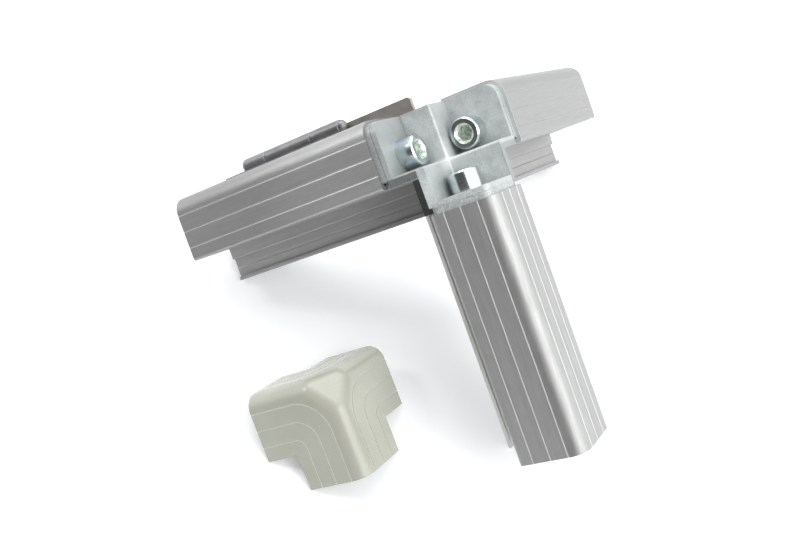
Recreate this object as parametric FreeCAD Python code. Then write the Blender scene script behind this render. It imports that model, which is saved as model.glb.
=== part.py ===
import FreeCAD, Part
import math
import os

os.makedirs("parts", exist_ok=True)
V = FreeCAD.Vector

# Profile section, in mm. Both outer faces lie in planes through the corner point.
face_w = 28.0
edge_r = 7.0
inner_edge_r = 1.2
wall_t = 1.8
groove_w = 0.6
groove_deep = 0.2
groove_land = 0.05
groove_share = 0.356

# Flanges that carry the panels
panel_t = 25.0
flange_reach = 15.4
gasket_start = 5.2
gasket_deep = 1.3
gasket_edge_r = 0.5
lip_w = 1.7

# Screw port inside the profile and the screw in it
screw_d = 8.0
screw_len = 25.0
screw_head_d = 13.0
screw_head_h = 8.0
socket_af = 6.0
socket_deep = 4.0
socket_mouth_d = 8.4
head_chamfer = 0.6
screw_tip = 1.0
port_core_d = 7.4
port_t = 1.8
port_back = 10.8
thread_clear = 0.05
screw_end_room = 1.0
plate_hole_clear = 0.5

# Cast corner
plate_t = 4.6
channel_wall = 3.5
channel_fillet = 1.2
rim_w = 2.1
rim_groove_w = 0.4
notch_w = 2.5
notch_back = 0.7
spigot_len = 6.0
spigot_t = 3.0
spigot_clear = 0.15

# Cap over the corner
cap_wall = 1.4
cap_clear = 0.15
cap_gap = 0.2
cap_corner_cut = 17.0
cap_bend_inset = 2.0

# Profile stubs
stub_len = 102.0

# Hinge on the upper face of the left profile
pin_d = 3.0
pin_clear = 0.06
barrel_r = 3.3
barrel_over = 3.5
barrel_back = 4.0
hinge_start = 22.0
right_knuckle = 15.1
middle_knuckle = 25.5
left_knuckle = 13.3
knuckle_gap = 0.1
knuckle_chamfer = 0.35
knuckle_end_r = 1.5
pin_head_r = 3.1
pin_head_h = 2.6
leaf_gap = 0.3
leaf_t = 2.0
leaf_above_pin = 1.1
leaf_short = 3.0
leaf_over = 31.9
leaf_chamfer = 1.0
leaf_root_t = 3.0
leaf_hole_d = 3.6
leaf_sink_d = 7.0
leaf_hole_right = 16.0
leaf_hole_left = 20.0
fixed_leaf_w = 16.5
fixed_leaf_t = 1.65
fixed_leaf_rim = 0.5
fixed_slope = 11.5
leaf_screw_d = 2.9
leaf_screw_head_d = 5.5
leaf_screw_len = 8.0
leaf_screw_back = 0.8

# Where the taken off cap stands, seen from above
cap_stand_x = -40.3
cap_stand_y = -79.6
cap_turn = 1.235

# Derived sizes
reach = face_w + flange_reach
stub_end = reach + stub_len
groove_first = edge_r + groove_w / 2 + groove_land
groove_pitch = (face_w - groove_first) * groove_share
flange_t = face_w - panel_t
port = face_w - port_back
channel = face_w - channel_wall
recess = cap_wall + cap_clear
plate_in = reach - plate_t


def rounded_face(points, x=0.0):
    """Face across the X axis from corner points, each with its own radius."""
    corners = []
    count = len(points)
    for i in range(count):
        here = V(x, points[i][0], points[i][1])
        last = V(x, points[i - 1][0], points[i - 1][1])
        after = V(x, points[(i + 1) % count][0], points[(i + 1) % count][1])
        r = points[i][2] if len(points[i]) > 2 else 0.0
        if r <= 0:
            corners.append((here, None, here))
            continue
        d1 = (last - here).normalize()
        d2 = (after - here).normalize()
        half = d1.getAngle(d2) / 2
        middle = (d1 + d2).normalize()
        t = r / math.tan(half)
        top = here + middle * (r / math.sin(half) - r)
        corners.append((here + d1 * t, top, here + d2 * t))
    edges = []
    for i in range(count):
        start, top, end = corners[i]
        if top is not None:
            edges.append(Part.Arc(start, top, end).toShape())
        following = corners[(i + 1) % count][0]
        if end.distanceToPoint(following) > 1e-6:
            edges.append(Part.LineSegment(end, following).toShape())
    return Part.Face(Part.Wire(edges))


def prism(points, x0, x1):
    """Solid along X from one section."""
    return rounded_face(points, x0).extrude(V(x1 - x0, 0, 0))


def box(x0, x1, y0, y1, z0, z1):
    return Part.makeBox(x1 - x0, y1 - y0, z1 - z0, V(x0, y0, z0))


def rod(r, x0, x1, y, z):
    """Round bar along X."""
    return Part.makeCylinder(r, x1 - x0, V(x0, y, z), V(1, 0, 0))


def swapped(shape):
    """Mirror image across the diagonal of the section."""
    return shape.mirror(V(0, 0, 0), V(0, 1, -1))


def next_arm(shape, times):
    """The same shape on another arm: x goes to y, y to z, z to x."""
    return shape.rotated(V(0, 0, 0), V(1, 1, 1), 120.0 * times)


def vee(at, level, step):
    """Three points of a fine groove in a section, cut from the given level."""
    return [(at - step * groove_w / 2, level), (at, level + groove_deep), (at + step * groove_w / 2, level)]


def section_points():
    """Outline of the profile: one half, then its mirror image."""
    half = []
    for i in range(3):
        half += vee(groove_first + i * groove_pitch, 0.0, 1)
    half.append((face_w, 0.0, inner_edge_r))
    half.append((face_w, panel_t, 0.4))
    half.append((face_w + gasket_start, panel_t, gasket_edge_r))
    half.append((face_w + gasket_start, panel_t + gasket_deep))
    half += vee(face_w + (gasket_start + flange_reach - lip_w) / 2, panel_t + gasket_deep, 1)
    half.append((reach - lip_w, panel_t + gasket_deep))
    half.append((reach - lip_w, panel_t))
    half.append((reach, panel_t, 0.4))
    half.append((reach, face_w, 0.4))
    other = [(p[1], p[0]) + tuple(p[2:]) for p in reversed(half)]
    return [(0.0, 0.0, edge_r)] + half + [(face_w, face_w, 0.4)] + other


def hollow_points():
    """Outline of the space inside the profile."""
    far = face_w - wall_t
    return [(wall_t, wall_t, edge_r - wall_t), (far, wall_t, 0.8), (far, far, 0.8), (wall_t, far, 0.8)]


def profile():
    """Profile stub along X, with its screw port."""
    far = face_w - wall_t
    ring = rod(screw_d / 2 + port_t, reach, stub_end, port, port)
    web = box(reach, stub_end, port, far + wall_t / 2, port - port_t / 2, port + port_t / 2)
    hollow = prism(hollow_points(), reach, stub_end).cut([ring, web, swapped(web)])
    core = rod(port_core_d / 2, reach, stub_end, port, port)
    threaded = rod(screw_d / 2, reach, plate_in + screw_len + screw_end_room, port, port)
    body = prism(section_points(), reach, stub_end)
    return body.cut([hollow, core, threaded])


def slab():
    """Channel wall across Z that ends flush with the flanges of both profiles."""
    wall = box(recess, reach, recess, reach, channel, face_w)
    open_square = box(recess - 1, channel, recess - 1, channel, channel - 1, face_w + 1)
    far_corner = box(face_w, reach + 1, face_w, reach + 1, channel - 1, face_w + 1)
    web = box(face_w, reach, face_w, reach, panel_t, face_w)
    return wall.cut([open_square, far_corner]).fuse(web)


def plate_points(inset):
    edge = recess + inset
    return [(edge, edge, edge_r - edge), (face_w, edge), (face_w, face_w), (edge, face_w)]


def end_plate():
    """End plate across X with its spigot."""
    plate = prism(plate_points(0.0), plate_in, reach)
    start = wall_t + spigot_clear
    leg = start + spigot_t
    far = face_w - wall_t - 4 * spigot_clear
    spigot = prism([(start, start, edge_r - start), (far, start), (far, leg), (leg, leg, 1.5),
                    (leg, far), (start, far)], plate_in, reach + spigot_len)
    return plate.fuse(spigot)


def plate_cuts():
    """What is taken from an end plate after joining."""
    groove = prism(plate_points(-1.0), reach - rim_w - rim_groove_w, reach - rim_w)
    groove = groove.cut(prism(plate_points(groove_deep), plate_in, reach))
    groove = groove.cut(box(plate_in, reach, face_w - notch_w, face_w + 1, face_w - notch_w, face_w + 1))
    notch = box(reach - rim_w - notch_back, reach, face_w - notch_w, face_w + 1, 0.0, recess + notch_w)
    hole = rod(screw_d / 2 + plate_hole_clear, plate_in - 1, reach + 1, port, port)
    return [groove, notch, swapped(notch), hole]


def channel_edges(shape):
    """The three ridges and three hollows that meet in the innermost point."""
    edges = []
    for edge in shape.Edges:
        level = [[abs(k - channel) < 1e-4 for k in v.Point] for v in edge.Vertexes]
        if len(level) == 2 and sum(a and b for a, b in zip(level[0], level[1])) == 2:
            edges.append(edge)
    return edges


def corner_connector():
    """Three walls with soft edges, closed by three end plates."""
    wall = slab()
    body = wall.fuse([next_arm(wall, 1), next_arm(wall, 2)]).removeSplitter()
    body = body.makeFillet(channel_fillet, channel_edges(body))
    plate = end_plate()
    body = body.fuse([plate, next_arm(plate, 1), next_arm(plate, 2)]).removeSplitter()
    cuts = []
    for item in plate_cuts():
        cuts += [item, next_arm(item, 1), next_arm(item, 2)]
    return body.cut(cuts)


def corner_screw():
    """Socket head cap screw along X, seated on the end plate."""
    x0 = plate_in - screw_head_h
    head_r = screw_head_d / 2
    head = rod(head_r, x0 + head_chamfer, plate_in, port, port)
    rim = Part.makeCone(head_r - head_chamfer, head_r, head_chamfer, V(x0, port, port), V(1, 0, 0))
    r = screw_d / 2 - thread_clear
    tip = plate_in + screw_len
    shank = rod(r, plate_in - 1, tip - screw_tip, port, port)
    end = Part.makeCone(r, r - 0.8 * screw_tip, screw_tip, V(tip - screw_tip, port, port), V(1, 0, 0))
    corner_r = socket_af / math.sqrt(3)
    hexagon = []
    for i in range(6):
        a = math.radians(60 * i + 30)
        hexagon.append((port + corner_r * math.cos(a), port + corner_r * math.sin(a)))
    socket = prism(hexagon, x0 - 1, x0 + socket_deep)
    mouth = Part.makeCone(socket_mouth_d / 2, socket_af / 2, (socket_mouth_d - socket_af) / 2,
                          V(x0, port, port), V(1, 0, 0))
    return head.fuse([rim, shank, end]).cut([socket, mouth])


def cap_block(start, r, cut):
    """Large block whose corner point is cut off and all edges there rounded."""
    size = 2 * reach
    block = Part.makeBox(size, size, size, V(start, start, start))
    a, b, c = [V(start + cut, start, start), V(start, start + cut, start), V(start, start, start + cut)]
    o = V(start, start, start)
    faces = [Part.Face(Part.makePolygon(list(t) + [t[0]])) for t in ((a, b, c), (o, a, b), (o, b, c), (o, c, a))]
    block = block.cut(Part.Solid(Part.Shell(faces)))
    edges = []
    for edge in block.Edges:
        low = [sum(abs(k - start) < 1e-4 for k in v.Point) for v in edge.Vertexes]
        if min(low) >= 2:
            edges.append(edge)
    return block.makeFillet(r, edges)


def cap_groove(i):
    """One groove on the face across X, bent round the concave corner."""
    at = groove_first + i * groove_pitch
    bend = face_w - cap_bend_inset * (3 - i) - at
    far = 2 * reach
    strips = []
    for side in (-1, 1):
        d = at + side * groove_w / 2
        strips.append(prism([(d, d, bend - side * groove_w / 2), (far, d), (far, far), (d, far)], -1.0, groove_deep))
    return strips[0].cut(strips[1])


def corner_cap():
    """Open cap: three L-shaped walls that meet in a soft corner."""
    arm = box(0, reach - cap_gap, 0, face_w, 0, face_w)
    arms = arm.fuse([next_arm(arm, 1), next_arm(arm, 2)]).removeSplitter()
    inner_cut = cap_corner_cut - (3 - math.sqrt(3)) * cap_wall
    shell = arms.common(cap_block(0.0, edge_r, cap_corner_cut))
    shell = shell.cut(cap_block(cap_wall, edge_r - cap_wall, inner_cut))
    cuts = []
    for i in range(3):
        groove = cap_groove(i)
        cuts += [groove, next_arm(groove, 1), next_arm(groove, 2)]
    return shell.cut(cuts)


# Hinge places along X and across Y, above the face at Z = 0
pin_y = face_w - barrel_back
pin_z = -barrel_over
x_right = reach + hinge_start
x_middle = x_right + right_knuckle
x_left = x_middle + middle_knuckle
x_end = x_left + left_knuckle


def hinge_screw_places():
    y = pin_y - barrel_r - leaf_screw_head_d / 2 - leaf_screw_back
    return [(x_right + right_knuckle / 2, y), (x_left + left_knuckle / 2, y)]


def knuckle(x0, x1):
    """Round knuckle with small chamfers at both ends."""
    c = knuckle_chamfer
    start = Part.makeCone(barrel_r - c, barrel_r, c, V(x0, pin_y, pin_z), V(1, 0, 0))
    end = Part.makeCone(barrel_r, barrel_r - c, c, V(x1 - c, pin_y, pin_z), V(1, 0, 0))
    return rod(barrel_r, x0 + c, x1 - c, pin_y, pin_z).fuse([start, end])


def left_end_knuckle():
    """Outer knuckle at the left, with a blunt closed end."""
    c = knuckle_chamfer
    steep = knuckle_end_r * math.sin(math.radians(45))
    flat = knuckle_end_r - steep
    bar = rod(barrel_r, x_left + c, x_end - knuckle_end_r, pin_y, pin_z)
    start = Part.makeCone(barrel_r - c, barrel_r, c, V(x_left, pin_y, pin_z), V(1, 0, 0))
    outer = Part.makeCone(barrel_r, barrel_r - flat, steep, V(x_end - knuckle_end_r, pin_y, pin_z), V(1, 0, 0))
    inner = Part.makeCone(barrel_r - flat, barrel_r - knuckle_end_r, flat, V(x_end - flat, pin_y, pin_z), V(1, 0, 0))
    return bar.fuse([start, outer, inner])


def head_height():
    """Height of a countersunk head with a 90 degree cone."""
    return (leaf_screw_head_d - leaf_screw_d) / 2


def hinge_fixed_leaf():
    """Thin leaf with the two outer knuckles."""
    front = pin_y - fixed_leaf_w
    back = pin_y - barrel_r + 0.4 * (barrel_r - fixed_leaf_t) - 0.5
    leaf = prism([(front, 0.0), (back, 0.0), (back, -fixed_leaf_t, 0.2), (front + fixed_slope, -fixed_leaf_t, 1.0),
                  (front, -fixed_leaf_rim, 0.2)], x_right, x_end)
    pieces = [knuckle(x_right, x_middle), left_end_knuckle()]
    c = knuckle_chamfer
    for x0, x1 in ((x_right + c, x_middle - c), (x_left + c, x_end - knuckle_end_r)):
        pieces.append(box(x0, x1, back - 1.0, pin_y + 0.6 * barrel_r, -fixed_leaf_t, 0.0))
    body = leaf.fuse(pieces).removeSplitter()
    cuts = [rod(pin_d / 2, x_right - 1, x_end - 1.8, pin_y, pin_z)]
    r = leaf_screw_d / 2 + thread_clear
    top = head_height()
    for x, y in hinge_screw_places():
        cuts.append(Part.makeCylinder(r, 10, V(x, y, -5), V(0, 0, 1)))
        cuts.append(Part.makeCone(leaf_screw_head_d / 2, r, top, V(x, y, -top), V(0, 0, 1)))
        cuts.append(Part.makeCylinder(leaf_screw_head_d / 2, 3, V(x, y, -top - 3), V(0, 0, 1)))
    return body.cut(cuts)


def hinge_screw(place):
    """Countersunk screw with a cross slot, let into the fixed leaf."""
    x, y = place
    r = leaf_screw_d / 2
    top = head_height()
    head = Part.makeCone(leaf_screw_head_d / 2 - thread_clear, r, top, V(x, y, -top), V(0, 0, 1))
    shank = Part.makeCylinder(r, leaf_screw_len, V(x, y, 0), V(0, 0, 1))
    slot = box(x - 1.6, x + 1.6, y - 0.3, y + 0.3, -top - 1, -top + 0.6)
    cross = box(x - 0.3, x + 0.3, y - 1.6, y + 1.6, -top - 1, -top + 0.6)
    return head.fuse(shank).cut([slot, cross])


def hinge_pin():
    """Pin with a domed head at its right end."""
    shank = rod(pin_d / 2, x_right - 0.5, x_end - 2.0, pin_y, pin_z)
    r = (pin_head_r ** 2 + pin_head_h ** 2) / (2 * pin_head_h)
    ball = Part.makeSphere(r, V(x_right - pin_head_h + r, pin_y, pin_z))
    head = ball.common(rod(pin_head_r, x_right - pin_head_h - 1, x_right, pin_y, pin_z))
    return shank.fuse(head)


def leaf_holes():
    """Places of the door screw holes in the moving leaf, along X and Z."""
    middle = (pin_z - leaf_above_pin + panel_t - leaf_short) / 2
    return [(x_right - leaf_hole_right, middle), (x_end - leaf_hole_left, middle)]


def hinge_moving_leaf():
    """Plate that hangs beside the profile, with the middle knuckle."""
    near = face_w + leaf_gap
    top = pin_z - leaf_above_pin
    low = panel_t - leaf_short
    c = leaf_chamfer
    x0 = x_right - leaf_over
    outline = [V(x0 + c, near, top), V(x_end - c, near, top), V(x_end, near, top + c), V(x_end, near, low - c),
               V(x_end - c, near, low), V(x0 + c, near, low), V(x0, near, low - c), V(x0, near, top + c),
               V(x0 + c, near, top)]
    plate = Part.Face(Part.makePolygon(outline)).extrude(V(0, leaf_t, 0))
    start = x_middle + knuckle_gap
    end = x_left - knuckle_gap
    web = box(start + knuckle_chamfer, end - knuckle_chamfer, pin_y, near + leaf_t / 2, top, top + leaf_root_t)
    body = plate.fuse([knuckle(start, end), web]).removeSplitter()
    cuts = [rod(pin_d / 2 + pin_clear, start - 1, end + 1, pin_y, pin_z)]
    deep = (leaf_sink_d - leaf_hole_d) / 2
    for x, z in leaf_holes():
        cuts.append(Part.makeCylinder(leaf_hole_d / 2, leaf_t + 2, V(x, near - 1, z), V(0, 1, 0)))
        cuts.append(Part.makeCone(leaf_sink_d / 2, leaf_hole_d / 2, deep, V(x, near, z), V(0, 1, 0)))
    return body.cut(cuts)


def left_profile():
    """Left stub with the two holes for the hinge screws."""
    holes = []
    for x, y in hinge_screw_places():
        holes.append(Part.makeCylinder(leaf_screw_d / 2 + thread_clear, wall_t + 2, V(x, y, -1), V(0, 0, 1)))
    return profile().cut(holes)


stub = profile()
screw = corner_screw()
places = hinge_screw_places()
joined = {
    "corner_connector": corner_connector(),
    "left_profile": left_profile(),
    "right_profile": next_arm(stub, 1),
    "front_profile": next_arm(stub, 2),
    "left_screw": screw,
    "right_screw": next_arm(screw, 1),
    "front_screw": next_arm(screw, 2),
    "hinge_fixed_leaf": hinge_fixed_leaf(),
    "hinge_moving_leaf": hinge_moving_leaf(),
    "hinge_pin": hinge_pin(),
    "hinge_screw_right": hinge_screw(places[0]),
    "hinge_screw_left": hinge_screw(places[1]),
}

# Turn the corner so that it stands on its six flange tips, corner point up
r2, r3, r6 = math.sqrt(2), math.sqrt(3), math.sqrt(6)
stand = FreeCAD.Placement(FreeCAD.Matrix(-r2 / r3, 1 / r6, 1 / r6, 0,
                                         0, 1 / r2, -1 / r2, 0,
                                         -1 / r3, -1 / r3, -1 / r3, 0,
                                         0, 0, 0, 1))


def placed(shape, placement):
    copy = shape.copy()
    copy.Placement = placement.multiply(copy.Placement)
    return copy


nodes = {name: placed(shape, stand) for name, shape in joined.items()}
turn = FreeCAD.Placement(V(cap_stand_x, cap_stand_y, 0), FreeCAD.Rotation(V(0, 0, 1), cap_turn))
nodes["corner_cap"] = placed(placed(corner_cap(), stand), turn)


def lowest(shape):
    return shape.optimalBoundingBox(False, False).ZMin


ground = min(lowest(nodes[name]) for name in ("left_profile", "right_profile", "front_profile"))
nodes["corner_cap"] = placed(nodes["corner_cap"], FreeCAD.Placement(V(0, 0, ground - lowest(nodes["corner_cap"])),
                                                                   FreeCAD.Rotation()))
span = Part.Compound(list(nodes.values())).optimalBoundingBox(False, False)
shift = FreeCAD.Placement(V(-span.Center.x, -span.Center.y, -span.ZMin), FreeCAD.Rotation())
for name, shape in nodes.items():
    placed(shape, shift).exportStep("parts/" + name + ".step")
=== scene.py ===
import bpy
import math
from mathutils import Matrix, Vector

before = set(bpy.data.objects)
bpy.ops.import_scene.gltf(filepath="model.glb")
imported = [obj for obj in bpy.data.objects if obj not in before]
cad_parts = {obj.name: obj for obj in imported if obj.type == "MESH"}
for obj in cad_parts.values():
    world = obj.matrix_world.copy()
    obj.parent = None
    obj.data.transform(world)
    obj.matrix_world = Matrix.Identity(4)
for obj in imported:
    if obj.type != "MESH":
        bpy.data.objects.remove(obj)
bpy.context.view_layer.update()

# The three arms in the order of their numbers, and the corner point, in the frame's metres
LEFT, RIGHT, FRONT = range(3)
ARMS = [Vector((-math.sqrt(2 / 3), 0.0, -math.sqrt(1 / 3))),
        Vector((math.sqrt(1 / 6), math.sqrt(1 / 2), -math.sqrt(1 / 3))),
        Vector((math.sqrt(1 / 6), -math.sqrt(1 / 2), -math.sqrt(1 / 3)))]
CORNER = Vector((0.023314287, 0.003719609, 0.125034257))

# The same for the cap, which stands a little turned
CAP_ARMS = [Matrix.Rotation(math.radians(1.235), 3, "Z") @ arm for arm in ARMS]
CAP_CORNER = CORNER + Vector((-0.0403, -0.0796, -0.083118627))

# Places in mm along the arms, from the corner point; each pair is where a change begins and ends
GROOVE_FIRST = 7.35
GROOVE_PITCH = 7.3514
GROOVE_HALF_WIDTH = (0.22, 0.32)
GROOVE_FLOOR = (0.4, 0.5)
PAST_FACE = (28.0, 29.0)
PAST_FLANGE = (24.0, 24.5)
PLATE_INSIDE = (38.0, 38.6)
PLATE_RIM = (38.6, 41.5)
PROFILE_START = (43.5, 43.7)
RIDGE = 24.5
SCREW_AXIS = 17.2
SOCKET_RADIUS_SQUARED = (16.8, 17.6)


class Tree:
    """Helpers that add nodes to one node tree; a value is a socket, a number or a colour."""

    def __init__(self, tree):
        self.nodes, self.links = tree.nodes, tree.links

    def connect(self, value, socket):
        if isinstance(value, bpy.types.NodeSocket):
            self.links.new(value, socket)
        elif isinstance(value, tuple):
            socket.default_value = (*value, 1.0)
        else:
            socket.default_value = value

    def position(self):
        """Position in object space, in metres."""
        return self.nodes.new("ShaderNodeTexCoord").outputs["Object"]

    def dot(self, vector, direction):
        node = self.nodes.new("ShaderNodeVectorMath")
        node.operation = "DOT_PRODUCT"
        node.inputs[1].default_value = direction
        self.links.new(vector, node.inputs[0])
        return node.outputs["Value"]

    def math(self, what, first, second=None):
        node = self.nodes.new("ShaderNodeMath")
        node.operation = what
        self.connect(first, node.inputs[0])
        if second is not None:
            self.connect(second, node.inputs[1])
        return node.outputs[0]

    def chain(self, what, first, *others):
        """One operation over several values, from the left."""
        for other in others:
            first = self.math(what, first, other)
        return first

    def product(self, *factors):
        return self.chain("MULTIPLY", *factors)

    def off(self, value, middle):
        """Square of the distance from a middle."""
        return self.math("POWER", self.math("SUBTRACT", value, middle), 2.0)

    def step(self, value, ends, bottom=0.0, top=1.0):
        """Smooth change from bottom to top between two values."""
        node = self.nodes.new("ShaderNodeMapRange")
        node.interpolation_type = "SMOOTHSTEP"
        for name, number in (("From Min", ends[0]), ("From Max", ends[1]), ("To Min", bottom), ("To Max", top)):
            node.inputs[name].default_value = number
        self.links.new(value, node.inputs["Value"])
        return node.outputs["Result"]

    def mix(self, factor, first, second):
        """Colour mix."""
        node = self.nodes.new("ShaderNodeMix")
        node.data_type = "RGBA"
        self.links.new(factor, node.inputs[0])
        self.connect(first, node.inputs[6])
        self.connect(second, node.inputs[7])
        return node.outputs[2]

    def ramp(self, source, *stops):
        """Colour ramp fed by one value."""
        node = self.nodes.new("ShaderNodeValToRGB")
        elements = node.color_ramp.elements
        while len(elements) < len(stops):
            elements.new(0.5)
        for element, (at, colour) in zip(elements, stops):
            element.position = at
            element.color = (*colour, 1.0)
        self.links.new(source, node.inputs["Fac"])
        return node.outputs["Color"]

    def noise(self, vector, scale, detail=3.0, rough=0.5):
        node = self.nodes.new("ShaderNodeTexNoise")
        node.inputs["Scale"].default_value = scale
        node.inputs["Detail"].default_value = detail
        node.inputs["Roughness"].default_value = rough
        self.links.new(vector, node.inputs["Vector"])
        return node.outputs["Fac"]

    def along(self, arm, arms=ARMS, corner=CORNER):
        """Distance from the corner point along one arm, in mm."""
        return self.math("SUBTRACT", self.dot(self.position(), arms[arm] * 1000), corner.dot(arms[arm]) * 1000)

    def arm_space(self, scales=(1.0, 1.0, 1.0)):
        """Position in mm along the three arms, scaled, as a vector."""
        join = self.nodes.new("ShaderNodeCombineXYZ")
        for i, scale in enumerate(scales):
            self.links.new(self.math("MULTIPLY", self.along(i), scale), join.inputs[i])
        return join.outputs[0]


class Look(Tree):
    """A new material with a Principled shader."""

    def __init__(self, name, metallic=0.0):
        self.material = bpy.data.materials.new(name)
        self.material.use_nodes = True
        super().__init__(self.material.node_tree)
        self.shader = self.nodes["Principled BSDF"].inputs
        self.shader["Metallic"].default_value = metallic

    def finish(self, colour, mottle, roughness):
        """Base colour, and roughness between two values as the mottling goes from 0.3 to 0.7."""
        self.links.new(colour, self.shader["Base Color"])
        self.links.new(self.step(mottle, (0.3, 0.7), *roughness), self.shader["Roughness"])

    def bump(self, source, strength, distance):
        node = self.nodes.new("ShaderNodeBump")
        node.inputs["Strength"].default_value = strength
        node.inputs["Distance"].default_value = distance
        self.links.new(source, node.inputs["Height"])
        self.links.new(node.outputs["Normal"], self.shader["Normal"])


def face_grooves(look, across, deep):
    """One in the three grooves of a face, given the distances across it and into it."""
    half = GROOVE_PITCH / 2
    turn = look.math("MODULO", look.math("ADD", across, half + GROOVE_PITCH - GROOVE_FIRST), GROOVE_PITCH)
    off = look.math("ABSOLUTE", look.math("SUBTRACT", turn, half))
    return look.product(look.step(off, GROOVE_HALF_WIDTH, 1.0, 0.0), look.step(deep, GROOVE_FLOOR, 1.0, 0.0))


def aluminium(arm, groove_highlight_tone, dark=0.385, light=0.48):
    """Satin anodised extrusion with fine drawing lines along its arm."""
    look = Look("anodised_%d" % arm, metallic=1.0)
    scales = [1.0, 1.0, 1.0]
    scales[arm] = 0.03
    lines = look.arm_space(scales)
    broad = look.noise(lines, 0.35, 5.0, 0.7)
    fine = look.noise(lines, 3.0, 2.0)
    scales[arm] = 0.25
    patch = look.noise(look.arm_space(scales), 0.5, 6.0, 0.7)
    blend = look.math("ADD", look.product(broad, 0.6), look.product(patch, 0.4))
    colour = look.ramp(blend, (0.34, (dark, dark, dark * 0.97)), (0.66, (light, light, light * 0.98)))
    first, second = [look.along(i) for i in range(3) if i != arm]
    # Painted highlight: groove floors painted paler, for the light the grooves catch
    groove = look.math("MAXIMUM", face_grooves(look, first, second), face_grooves(look, second, first))
    colour = look.mix(groove, colour, (groove_highlight_tone, groove_highlight_tone, groove_highlight_tone * 0.98))
    if arm == LEFT:
        # Painted shade: darker towards the free end, where less light falls, and a painted shadow under the
        # face's edge towards the corner, where the corner shades the flange
        out = look.along(LEFT)
        painted_far_shade = look.product(look.step(out, (60.0, 115.0), 0.0, 0.5), look.step(second, PAST_FACE, 1.0, 0.0))
        painted_corner_shadow = look.product(look.step(out, (42.0, 85.0), 0.5, 0.0), look.step(second, PAST_FACE))
        colour = look.mix(painted_far_shade, colour, (0.25, 0.25, 0.24))
        colour = look.mix(painted_corner_shadow, colour, (0.15, 0.15, 0.145))
    elif arm == RIGHT:
        # Pale sawn end round the casting
        colour = look.mix(look.step(look.along(RIGHT), PROFILE_START, 0.9, 0.0), colour, (0.85, 0.86, 0.85))
    else:
        # Painted light: the flange past the face's edge is painted paler, lifting the shade in its recess
        painted_flange_light = look.product(look.step(first, (30.0, 31.0)), look.step(second, PAST_FLANGE))
        colour = look.mix(painted_flange_light, colour, (0.85, 0.85, 0.83))
    look.finish(colour, fine, (0.46, 0.56))
    look.bump(fine, 0.25, 0.00004)
    return look.material


def die_cast():
    """Zinc casting: cloudy skin, with a coarse speckled skin towards the rims."""
    look = Look("die_cast", metallic=0.2)
    here = look.arm_space()
    cloud = look.noise(here, 0.16, 6.0, 0.6)
    grain = look.noise(here, 1.6, 5.0, 0.75)
    skin = look.ramp(cloud, (0.36, (0.50, 0.537, 0.526)), (0.5, (0.61, 0.652, 0.641)),
                     (0.64, (0.70, 0.727, 0.716)))
    speckle = look.ramp(grain, (0.38, (0.24, 0.255, 0.25)), (0.5, (0.52, 0.54, 0.53)),
                        (0.62, (0.80, 0.82, 0.81)))
    a, c, b = [look.along(arm) for arm in (LEFT, RIGHT, FRONT)]
    farthest = look.math("MAXIMUM", a, look.math("MAXIMUM", c, b))
    colour = look.mix(look.step(farthest, PLATE_RIM, 0.28, 0.6), skin, speckle)
    # Painted shadow: dark lower edge beside the left plate, where it meets the flange
    painted_edge_shadow = look.product(look.step(a, (27.6, 28.4)), look.step(b, (24.9, 25.3), 0.0, 0.8),
                        look.step(b, (28.1, 28.3), 1.0, 0.0), look.step(c, (1.7, 2.0), 1.0, 0.0))
    colour = look.mix(painted_edge_shadow, colour, (0.07, 0.075, 0.07))
    # Painted shade: a duller strip beside the right plate's notch, where the notch lies in shade, and a duller
    # left plate, toning down the light falling on it
    painted_notch_shade = look.product(look.step(a, (1.9, 2.1), 0.75, 0.0), look.step(b, (25.5, 26.5)),
                         look.step(c, (24.4, 24.6)))
    painted_plate_shade = look.step(a, PLATE_INSIDE, 0.0, 0.45)
    colour = look.mix(look.math("MAXIMUM", painted_notch_shade, painted_plate_shade), colour, (0.2, 0.215, 0.21))
    # Painted shade: duller skin on the walls that face away from the left arm, towards the key light
    key_lit_facing = look.dot(look.nodes.new("ShaderNodeNewGeometry").outputs["Normal"], -ARMS[LEFT])
    colour = look.mix(look.step(key_lit_facing, (0.7, 0.98), 0.0, 0.42), colour, (0.30, 0.32, 0.315))
    # Painted highlight: bright innermost point, where the ridges meet
    away = look.math("SQRT", look.chain("ADD", *[look.off(place, RIDGE) for place in (c, b, a)]))
    colour = look.mix(look.step(away, (1.0, 11.0), 0.75, 0.0), colour, (0.80, 0.83, 0.82))
    # Painted shadow: dark web between the flanges, deep in the corner's shade
    painted_web_shadow = look.product(look.step(a, (28.0, 28.4)), look.step(b, (28.0, 28.4)),
                       look.step(c, (25.2, 25.6), 1.0, 0.0))
    colour = look.mix(painted_web_shadow, colour, (0.075, 0.08, 0.075))
    look.finish(colour, cloud, (0.38, 0.5))
    look.bump(grain, 0.35, 0.00012)
    return look.material


def zinc_plate(arm=None):
    """Bright zinc plate with a blue and green tint; a corner screw's socket is paler and dull."""
    look = Look("zinc_plate", metallic=1.0)
    here = look.arm_space()
    fine = look.noise(here, 3.0, 3.0)
    colour = look.ramp(look.noise(here, 0.2, 2.0),
                       (0.34, (0.52, 0.62, 0.74)), (0.48, (0.66, 0.73, 0.71)), (0.6, (0.74, 0.77, 0.74)))
    if arm is not None:
        offs = [look.off(look.along(i), SCREW_AXIS) for i in range(3) if i != arm]
        socket = look.step(look.math("ADD", *offs), SOCKET_RADIUS_SQUARED, 1.0, 0.0)
        spots = look.ramp(look.noise(here, 0.75, 2.0),
                          (0.40, (0.42, 0.50, 0.43)), (0.52, (0.80, 0.87, 0.79)), (0.62, (0.93, 0.96, 0.92)))
        colour = look.mix(socket, colour, spots)
        look.links.new(look.math("SUBTRACT", 1.0, look.product(socket, 0.75)), look.shader["Metallic"])
    look.finish(colour, fine, (0.13, 0.24))
    look.bump(fine, 0.12, 0.00003)
    return look.material


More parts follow.
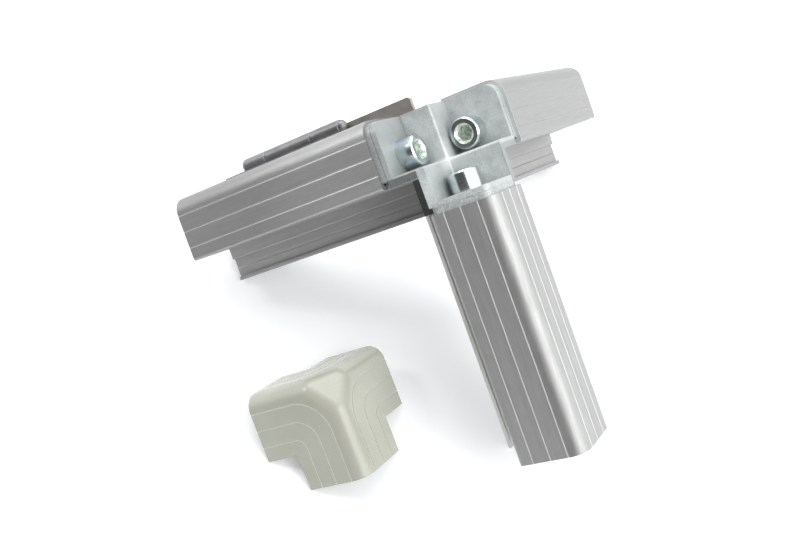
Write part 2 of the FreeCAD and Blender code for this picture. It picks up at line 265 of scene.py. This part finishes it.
def hinge_steel():
    """Dull grey steel; the hanging plate is paler and a little warmer than the barrel."""
    look = Look("hinge_steel", metallic=1.0)
    here = look.arm_space((0.4, 1.0, 1.0))
    cloud = look.noise(here, 0.3, 4.0)
    fine = look.noise(here, 2.5, 3.0)
    barrel = look.ramp(cloud, (0.35, (0.23, 0.23, 0.23)), (0.65, (0.31, 0.31, 0.31)))
    leaf = look.ramp(cloud, (0.35, (0.44, 0.405, 0.38)), (0.65, (0.54, 0.50, 0.47)))
    look.finish(look.mix(look.step(look.along(RIGHT), (27.4, 28.2)), barrel, leaf), fine, (0.38, 0.5))
    look.bump(fine, 0.15, 0.00005)
    return look.material


def cap_plastic():
    """Moulded grey-green plastic with a fine leather grain, and grooves painted paler as a painted highlight.
    """
    look = Look("cap_plastic")
    look.shader["Specular IOR Level"].default_value = 0.8
    here = look.position()
    fine = look.noise(here, 2600.0, 2.0)
    tone = look.ramp(look.noise(here, 45.0), (0.35, (0.405, 0.41, 0.338)), (0.65, (0.435, 0.44, 0.366)))
    places = [look.along(i, CAP_ARMS, CAP_CORNER) for i in range(3)]
    low, high, total = [look.chain(what, *places) for what in ("MINIMUM", "MAXIMUM", "ADD")]
    middle = look.math("SUBTRACT", look.math("SUBTRACT", total, low), high)
    # Painted highlight in a groove's floor, past the rounded edges and corner, and weaker on the right face
    groove = look.product(look.step(low, (0.05, 0.09)), look.step(low, (0.3, 0.4), 1.0, 0.0),
                          look.step(middle, (6.95, 7.02)), look.step(total, (22.3, 22.6)),
                          look.step(places[LEFT], (0.5, 0.6), 0.45, 1.0))
    look.finish(look.mix(groove, tone, (0.68, 0.685, 0.62)), fine, (0.17, 0.28))
    cells = look.nodes.new("ShaderNodeTexVoronoi")
    cells.inputs["Scale"].default_value = 1500.0
    look.links.new(here, cells.inputs["Vector"])
    look.bump(look.math("ADD", cells.outputs["Distance"], look.product(fine, 0.4)), 0.15, 0.00012)
    return look.material


casting, zinc, steel, plastic = die_cast(), zinc_plate(), hinge_steel(), cap_plastic()
looks = {
    "corner_connector": casting,
    "left_profile": aluminium(LEFT, 0.57),
    # Painted shade: the right arm's copy is darker and flatter, toning down the key light on its faces
    "right_profile": aluminium(RIGHT, 0.44, light=0.42),
    "front_profile": aluminium(FRONT, 0.6),
    "left_screw": zinc_plate(LEFT),
    "right_screw": zinc_plate(RIGHT),
    "front_screw": zinc_plate(FRONT),
    "corner_cap": plastic,
    "hinge_fixed_leaf": steel,
    "hinge_pin": steel,
    "hinge_moving_leaf": steel,
    "hinge_screw_left": zinc,
    "hinge_screw_right": zinc,
}
for name, material in looks.items():
    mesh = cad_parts[name].data
    mesh.materials.clear()
    mesh.materials.append(material)


def floor():
    """Floor, the size of a studio table, that bends up behind as a backdrop."""
    width, near, bend, radius, top, parts = 6.0, -2.0, 1.5, 0.8, 3.0, 12
    rows = [(near, 0.0), (bend, 0.0)]
    for i in range(1, parts + 1):
        angle = math.radians(90 * i / parts)
        rows.append((bend + radius * math.sin(angle), radius - radius * math.cos(angle)))
    rows.append((bend + radius, top))
    verts = [(x, y, z) for y, z in rows for x in (-width / 2, width / 2)]
    faces = [(2 * i, 2 * i + 1, 2 * i + 3, 2 * i + 2) for i in range(len(rows) - 1)]
    mesh = bpy.data.meshes.new("floor")
    mesh.from_pydata(verts, [], faces)
    for polygon in mesh.polygons:
        polygon.use_smooth = True
    ob = bpy.data.objects.new("floor", mesh)
    bpy.context.scene.collection.objects.link(ob)
    look = Look("floor_paper")
    tint = look.ramp(look.noise(look.position(), 30), (0.3, (0.93, 0.935, 0.945)), (0.7, (0.95, 0.953, 0.96)))
    look.links.new(tint, look.shader["Base Color"])
    look.shader["Roughness"].default_value = 0.9
    # Painted light: the floor glows faintly, lifting the shadows on it
    look.shader["Emission Color"].default_value = (0.96, 0.98, 1.0, 1.0)
    look.shader["Emission Strength"].default_value = 0.2
    mesh.materials.append(look.material)


def lamp(name, place, aim, size, power):
    """Rectangular soft light."""
    data = bpy.data.lights.new(name, "AREA")
    data.shape = "RECTANGLE"
    data.size, data.size_y = size
    data.energy = power
    ob = bpy.data.objects.new(name, data)
    bpy.context.scene.collection.objects.link(ob)
    ob.location = place
    ob.rotation_mode = "QUATERNION"
    ob.rotation_quaternion = (Vector(aim) - Vector(place)).to_track_quat("-Z", "Y")


def studio_world():
    """Pale surroundings that are dark on the front left."""
    world = bpy.data.worlds.new("studio")
    bpy.context.scene.world = world
    world.use_nodes = True
    tree = Tree(world.node_tree)
    direction = tree.nodes.new("ShaderNodeTexCoord").outputs["Generated"]
    towards = tree.dot(direction, Vector((-0.45, -0.64, 0.62)).normalized())
    tone = tree.ramp(towards, (0.0, (0.86, 0.87, 0.89)), (0.48, (0.80, 0.81, 0.83)),
                     (0.68, (0.27, 0.27, 0.275)), (0.86, (0.06, 0.06, 0.062)))
    background = tree.nodes["Background"].inputs
    tree.links.new(tone, background["Color"])
    background["Strength"].default_value = 1.75


def camera():
    """Camera solved from the photo, with its focal length and centre in the photo's pixels."""
    width, height = 800, 533
    focal, centre_x, centre_y = 986.08, 389.92, 254.47
    data = bpy.data.cameras.new("camera")
    data.sensor_width = 36.0
    data.lens = focal * data.sensor_width / width
    data.shift_x = (width / 2 - centre_x) / width
    data.shift_y = (centre_y - height / 2) / width
    data.clip_start, data.clip_end = 0.01, 20
    ob = bpy.data.objects.new("camera", data)
    bpy.context.scene.collection.objects.link(ob)
    bpy.context.scene.camera = ob
    ob.location = (0.02201, -0.25407, 0.38158)
    ob.rotation_euler = (math.radians(35.0727), math.radians(-0.2486), math.radians(5.1375))


floor()
lamp("key", (0.78, -0.49, 1.0), (0.03, 0, 0.06), (1.05, 1.05), 5.4)
lamp("key_core", (0.80, -0.45, 0.98), (0.03, 0, 0.06), (0.2, 0.2), 1.2)
lamp("left", (-0.95, 0.12, 0.75), (0, 0, 0.05), (0.17, 0.17), 2.5)
lamp("top_back", (-0.15, 0.75, 1.0), (0, 0, 0.0), (1.2, 0.8), 6.0)
studio_world()
bpy.context.scene.view_settings.view_transform = "Standard"
camera()
